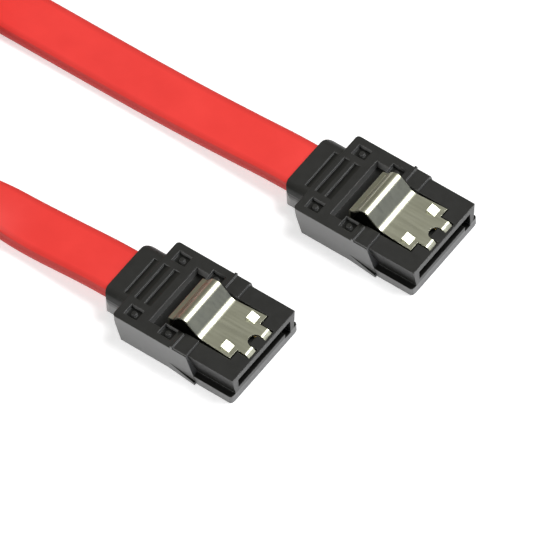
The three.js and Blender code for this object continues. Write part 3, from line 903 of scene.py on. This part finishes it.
@dataclass
class Cable:
    """The flat cable: two leads, the coil between them and the tie."""

    width: float = 7.9 * MM
    thickness: float = 1.8 * MM
    side: float = 13.45 * MM
    inset: float = 18.4 * MM
    front_a: float = 6.6 * MM
    front_b: float = 15.6 * MM
    boot_a: tuple[float, float, float] = (-15.6 * MM, -13.45 * MM, 2.3 * MM)
    coil_x: float = -95.5 * MM
    outer_turn: float = 40.0 * MM
    turn_pitch: float = 3.0 * MM
    tilt: float = 1.95
    start_angle: float = -45.0
    coil_sweep: float = 405.0
    steps_per_turn: int = 72
    length: float = 0.5
    route_step: float = 0.5 * MM
    path_stride: int = 4
    rim_steps: int = 5
    rim_depth: float = 0.75
    face_share: float = 0.985
    crease: float = 50.0

    def lead_a(self) -> list[tuple[float, float, float, float]]:
        """Route from plug A to the coil: x, y, z in metres and the ribbon's turn in degrees."""
        s = self.side
        return [
            (self.front_a - self.inset, -s, 0.0023, 0),
            (-0.0162, -s, 0.0023, 0),
            (-0.0197, -s, 0.00215, 0),
            (-0.0237, -s, 0.00175, 0),
            (-0.0277, -s, 0.00135, 0),
            (-0.0317, -0.01348, 0.0012, 3),
            (-0.0358, -0.01362, 0.0016, 10),
            (-0.0404, -0.01415, 0.0025, 24),
            (-0.0450, -0.0151, 0.0037, 42),
            (-0.0494, -0.0166, 0.0049, 60),
            (-0.0537, -0.0186, 0.0058, 75),
            (-0.0573, -0.0207, 0.0064, 85),
            (-0.0599, -0.0225, 0.0066, 90),
        ]

    def lead_b(self) -> list[tuple[float, float, float, float]]:
        """Route from inside the coil to plug B: x, y, z in metres and the ribbon's turn in degrees."""
        s = self.side
        return [
            (-0.1135, -0.0290, 0.00435, 90),
            (-0.1171, -0.0241, 0.0041, 90),
            (-0.1201, -0.0159, 0.0040, 90),
            (-0.1201, -0.0073, 0.0040, 90),
            (-0.1171, 0.0009, 0.0040, 90),
            (-0.1116, 0.0075, 0.0040, 90),
            (-0.1040, 0.0118, 0.0040, 88),
            (-0.0955, s, 0.00395, 80),
            (-0.0885, s, 0.00375, 62),
            (-0.0815, s, 0.00305, 38),
            (-0.0750, s, 0.00195, 14),
            (-0.0690, s, 0.0011, 2),
            (-0.0630, s, 0.00092, 0),
            (-0.0560, s, 0.00092, 0),
            (-0.0490, s, 0.00092, 0),
            (-0.0410, s, 0.00092, 0),
            (-0.0330, s, 0.00097, 0),
            (-0.0250, s, 0.0012, 0),
            (-0.0170, s, 0.0017, 0),
            (-0.0105, s, 0.0022, 0),
            (-0.0063, s, 0.0023, 0),
            (self.front_b - self.inset, s, 0.0023, 0),
        ]

    def coil(self) -> list[tuple[float, float, float, float]]:
        """Turns of the coil, worked out by a loop.

        Returns:
            Points with x, y, z in metres and the ribbon's turn in degrees.
        """
        points = []
        tilt = math.radians(self.tilt)
        rise = (self.outer_turn + self.thickness / 2) * math.sin(tilt)
        count = int(self.coil_sweep / 360 * self.steps_per_turn)
        for i in range(count + 1):
            swept = self.coil_sweep * i / count
            angle = math.radians(self.start_angle - swept)
            radius = self.outer_turn - self.turn_pitch * swept / 360
            flat_x = radius * math.cos(angle)
            middle = self.width / 2
            x = self.coil_x + flat_x * math.cos(tilt) - middle * math.sin(tilt)
            z = rise + flat_x * math.sin(tilt) + middle * math.cos(tilt)
            points.append((x, radius * math.sin(angle), z, 90.0))
        return points

    def route(self) -> np.ndarray:
        """The whole centreline as even points with the ribbon's turn.

        Returns:
            Rows of x, y, z in metres and turn in degrees, about half a millimetre apart.
        """
        knots = np.array(self.lead_a() + self.coil()[1:] + self.lead_b()[1:])
        fine = [knots[0]]
        for i in range(len(knots) - 1):
            before = knots[max(i - 1, 0)]
            after = knots[min(i + 2, len(knots) - 1)]
            fine.extend(self.span(before, knots[i], knots[i + 1], after))
        fine = np.array(fine)
        reach = np.concatenate([[0], np.cumsum(np.linalg.norm(np.diff(fine[:, :3], axis=0), axis=1))])
        even = np.linspace(0, reach[-1], int(reach[-1] / self.route_step))
        return np.stack([np.interp(even, reach, fine[:, k]) for k in range(4)], axis=1)

    @staticmethod
    def span(p0: np.ndarray, p1: np.ndarray, p2: np.ndarray, p3: np.ndarray,
             steps: int = 24) -> list[np.ndarray]:
        """Centripetal spline between the two middle points, without the first of them."""
        times = [0.0]
        for a, b in ((p0, p1), (p1, p2), (p2, p3)):
            times.append(times[-1] + max(np.linalg.norm(b[:3] - a[:3]), 1e-6) ** 0.5)
        t0, t1, t2, t3 = times
        points = []
        for t in np.linspace(t1, t2, steps + 1)[1:]:
            a1 = p0 * (t1 - t) / (t1 - t0) + p1 * (t - t0) / (t1 - t0)
            a2 = p1 * (t2 - t) / (t2 - t1) + p2 * (t - t1) / (t2 - t1)
            a3 = p2 * (t3 - t) / (t3 - t2) + p3 * (t - t2) / (t3 - t2)
            b1 = a1 * (t2 - t) / (t2 - t0) + a2 * (t - t0) / (t2 - t0)
            b2 = a2 * (t3 - t) / (t3 - t1) + a3 * (t - t1) / (t3 - t1)
            points.append(b1 * (t2 - t) / (t2 - t1) + b2 * (t - t1) / (t2 - t1))
        return points

    def section(self) -> list[tuple[float, float, float]]:
        """Outline of the jacket: across, through, and how much of the painted shade of the rounded rims it
        takes.
        """
        w = self.width / 2
        t = self.thickness / 2
        quarter = []
        for i in range(self.rim_steps + 1):
            angle = math.radians(90 * i / self.rim_steps)
            quarter.append((w - t * self.rim_depth * (1 - math.cos(angle)), t * math.sin(angle),
                            1.0 if i < self.rim_steps - 1 else 0.35))
        flat = [(w * share, t * self.face_share, 0.0) for share in (0.68, 0.34, 0.0)]
        upper = quarter + flat
        upper += [(-x, y, e) for x, y, e in reversed(upper[:-1])]
        lower = [(-x, -y, e) for x, y, e in upper[1:-1]]
        return upper + lower

    def ribbon(self, finishes: FinishSet) -> bpy.types.Object:
        """Makes the whole cable as one ribbon that is turned about its line.

        Args:
            finishes: The object's finishes.

        Returns:
            The cable.
        """
        line = self.route()
        section = self.section()
        points = line[:, :3]
        tangents = np.gradient(points, axis=0)
        tangents /= np.linalg.norm(tangents, axis=1)[:, None]
        verts = []
        for point, tangent, turn in zip(points, tangents, np.radians(line[:, 3])):
            level = np.array([-tangent[1], tangent[0], 0.0])
            level /= np.linalg.norm(level)
            across = level * math.cos(turn) + np.cross(tangent, level) * math.sin(turn)
            through = np.cross(tangent, across)
            for x, y, _ in section:
                verts.append(point + across * x + through * y)
        mesh = bpy.data.meshes.new("cable_jacket")
        mesh.from_pydata([tuple(v) for v in verts], [], tube_faces(len(points), len(section), False))
        # Share of the painted rim shade at each point of the outline.
        share = mesh.attributes.new("rim_shade_share", "FLOAT", "POINT")
        share.data.foreach_set("value", [e for _ in points for _, _, e in section])
        work = bmesh.new()
        work.from_mesh(mesh)
        bmesh.ops.recalc_face_normals(work, faces=work.faces)
        work.to_mesh(mesh)
        work.free()
        jacket = object_from("cable_jacket", mesh)
        mesh.shade_smooth()
        mesh.set_sharp_from_angle(angle=math.radians(self.crease))
        finishes.dress(jacket, Slot.JACKET)
        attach(jacket, ROOT_BODY)
        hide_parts("cable_lead_a", "cable_coil", "cable_lead_b")
        self.path = [tuple(map(float, p)) for p in (*points[::self.path_stride], points[-1])]
        real = float(np.linalg.norm(np.diff(points, axis=0), axis=1).sum())
        LOG.info("cable length %.4f m, %d faces", real, len(mesh.polygons))
        return jacket

    def build(self, finishes: FinishSet, trees: RepeatTrees) -> None:
        jacket = self.ribbon(finishes)
        tie = CoilTie(self).build(finishes, trees)


@dataclass
class CoilTie:
    """The tie round the coil: a flat coated band over a wire, with its two ends twisted together."""

    cable: Cable
    angle: float = -84.0
    width: float = 3.0 * MM
    wing: float = 0.28 * MM
    core: float = 0.6 * MM
    gap: float = 0.3 * MM
    corner: float = 1.1 * MM
    tail: float = 7.0 * MM
    turns: float = 2.5
    sunk_in: float = 0.25 * MM
    below_top: float = 1.1 * MM
    wing_end: float = 0.42
    core_edge: float = 0.24
    core_shoulder: float = 0.42
    strand_rings: int = 57
    strand_box: tuple[float, float, float, float] = (-0.62 * MM, 0.62 * MM, 0.03 * MM, 0.46 * MM)
    crease: float = 40.0

    def loop_line(self) -> list[tuple[float, float]]:
        """Line of the band round the coil's section, as distance from the coil's axis and height."""
        cable = self.cable
        reach = self.gap + self.core / 2
        inner = cable.outer_turn - cable.turn_pitch * cable.coil_sweep / 360 - cable.thickness / 2 - reach
        outer = cable.outer_turn + cable.thickness / 2 + reach
        low = -reach
        high = cable.width + reach
        r = self.corner
        centres = [(outer - r, low + r, -90), (outer - r, high - r, 0), (inner + r, high - r, 90),
                   (inner + r, low + r, 180)]
        line = []
        for x, z, start in centres:
            for k in range(7):
                angle = math.radians(start + 15 * k)
                line.append((x + r * math.cos(angle), z + r * math.sin(angle)))
        return line

    def band(self) -> bpy.types.Mesh:
        """Mesh of the band: two thin wings and the round rise of the wire between them."""
        half = self.width / 2
        upper = [(half, self.wing / 2), (half * self.wing_end, self.wing / 2),
                 (half * self.core_edge, self.core * self.core_shoulder), (0.0, self.core / 2)]
        upper += [(-y, t) for y, t in reversed(upper[:-1])]
        section = upper + [(-y, -t) for y, t in upper]
        line = self.loop_line()
        verts = []
        for i, (x, z) in enumerate(line):
            ahead = line[(i + 1) % len(line)]
            behind = line[i - 1]
            along = Vector((ahead[0] - behind[0], ahead[1] - behind[1])).normalized()
            for y, t in section:
                verts.append((x + along.y * t, y, z - along.x * t))
        mesh = bpy.data.meshes.new("tie_band")
        mesh.from_pydata(verts, [], tube_faces(len(line), len(section), True))
        return mesh

    def strand(self) -> bpy.types.Mesh:
        """Mesh of one end before it is twisted: a flat bar along X beside the axis."""
        rings = self.strand_rings
        y0, y1, z0, z1 = self.strand_box
        corners = [(y0, z0), (y1, z0), (y1, z1 * 0.7), (y1 * 0.4, z1), (y0 * 0.4, z1), (y0, z1 * 0.7)]
        verts = [(self.tail * i / (rings - 1), y, z) for i in range(rings) for y, z in corners]
        mesh = bpy.data.meshes.new("tie_strand")
        mesh.from_pydata(verts, [], tube_faces(rings, len(corners), False))
        return mesh

    def build(self, finishes: FinishSet, trees: RepeatTrees) -> bpy.types.Object:
        """Makes the tie in place of its CAD node.

        Args:
            finishes: The object's finishes.
            trees: The shared geometry node trees.

        Returns:
            The tie.
        """
        cable = self.cable
        coat = finishes.by_slot[Slot.TIE]
        ends = object_from("tie_ends", self.strand())
        trees.add(ends, trees.row, Count=2, Step=(0.0, 0.0, 0.0), Turn=math.pi, Scatter=0.0, Seed=3,
                  Finish=coat)
        trees.add(ends, trees.twist, Rate=self.turns * math.tau / self.tail, Finish=coat)
        settle(ends)
        outer = cable.outer_turn + cable.thickness / 2 + self.gap + self.core
        ends.data.transform(Matrix.Translation((outer - self.sunk_in, 0.0, cable.width - self.below_top)))
        work = bmesh.new()
        work.from_mesh(self.band())
        work.from_mesh(ends.data)
        bmesh.ops.recalc_face_normals(work, faces=work.faces)
        mesh = bpy.data.meshes.new("coil_tie_band")
        work.to_mesh(mesh)
        work.free()
        bpy.data.objects.remove(ends)
        tilt = math.radians(cable.tilt)
        rise = (cable.outer_turn + cable.thickness / 2) * math.sin(tilt)
        mesh.transform(Matrix.Translation((cable.coil_x, 0.0, rise)) @ Matrix.Rotation(-tilt, 4, "Y")
                       @ Matrix.Rotation(math.radians(self.angle), 4, "Z"))
        tie = object_from("coil_tie_band", mesh)
        mesh.shade_smooth()
        mesh.set_sharp_from_angle(angle=math.radians(self.crease))
        finishes.dress(tie, Slot.TIE)
        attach(tie, ROOT_BODY)
        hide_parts("coil_tie")
        return tie


# Plugs


@dataclass
class Plug:
    """One plug: housing, grip, latch, contacts and wires."""

    letter: Letter
    contact_count: int = 7
    contact_pitch: float = 1.27 * MM
    contact_scatter: float = 0.015 * MM
    moulded_crease: float = 20.0
    latch_crease: float = 14.0
    contact_crease: float = 30.0

    def node(self, name: str) -> str:
        """Full name of one of the plug's CAD nodes."""
        return f"plug_{self.letter.value}_{name}"

    def shell(self, name: str, slot: Slot, body: str, crease: float,
              finishes: FinishSet) -> bpy.types.Object:
        """Makes the visible shell of a node.

        Args:
            name: The node's own name, such as "grip".
            slot: The slot whose finish it takes.
            body: The CAD body that it rides on.
            crease: Smallest edge angle that the shading doesn't run across, in degrees.
            finishes: The object's finishes.

        Returns:
            The shell.
        """
        node = self.node(name)
        piece = shell_of(node, f"{node}_shell", crease)
        finishes.dress(piece, slot)
        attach(piece, body)
        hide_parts(node)
        LOG.info("%s: %d faces", piece.name, len(piece.data.polygons))
        return piece

    def contacts(self, finishes: FinishSet, trees: RepeatTrees) -> None:
        """Makes the row of contacts from the first one.

        Args:
            finishes: The object's finishes.
            trees: The shared geometry node trees.
        """
        row = shell_of(self.node("contact_1"), self.node("contact_row"), self.contact_crease)
        trees.add(row, trees.row, Count=self.contact_count, Step=(0.0, self.contact_pitch, 0.0), Turn=0.0,
                  Scatter=self.contact_scatter, Seed=7, Finish=finishes.by_slot[Slot.CONTACT])
        settle(row)
        finishes.dress(row, Slot.CONTACT)
        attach(row, ROOT_BODY)
        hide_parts(*(self.node(f"contact_{i}") for i in range(1, self.contact_count + 1)))

    def build(self, finishes: FinishSet, trees: RepeatTrees) -> None:
        """Makes and dresses every piece of the plug."""
        self.shell("housing", Slot.HOUSING, ROOT_BODY, self.moulded_crease, finishes)
        self.shell("grip", Slot.GRIP, ROOT_BODY, self.moulded_crease, finishes)
        self.shell("latch", Slot.LATCH, f"latch_{self.letter.value}", self.latch_crease, finishes)
        self.contacts(finishes, trees)
        for i in range(1, self.contact_count + 1):
            finishes.dress(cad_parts[self.node(f"wire_{i}")], Slot.WIRE)


def main() -> None:
    """Builds the studio, the cable and both plugs."""
    logging.basicConfig(level=logging.INFO, format="%(name)s: %(message)s")
    Studio().build()
    finishes = FinishSet()
    finishes.build()
    trees = RepeatTrees()
    Cable().build(finishes, trees)
    for letter in Letter:
        Plug(letter).build(finishes, trees)


if __name__ == "__main__":
    main()
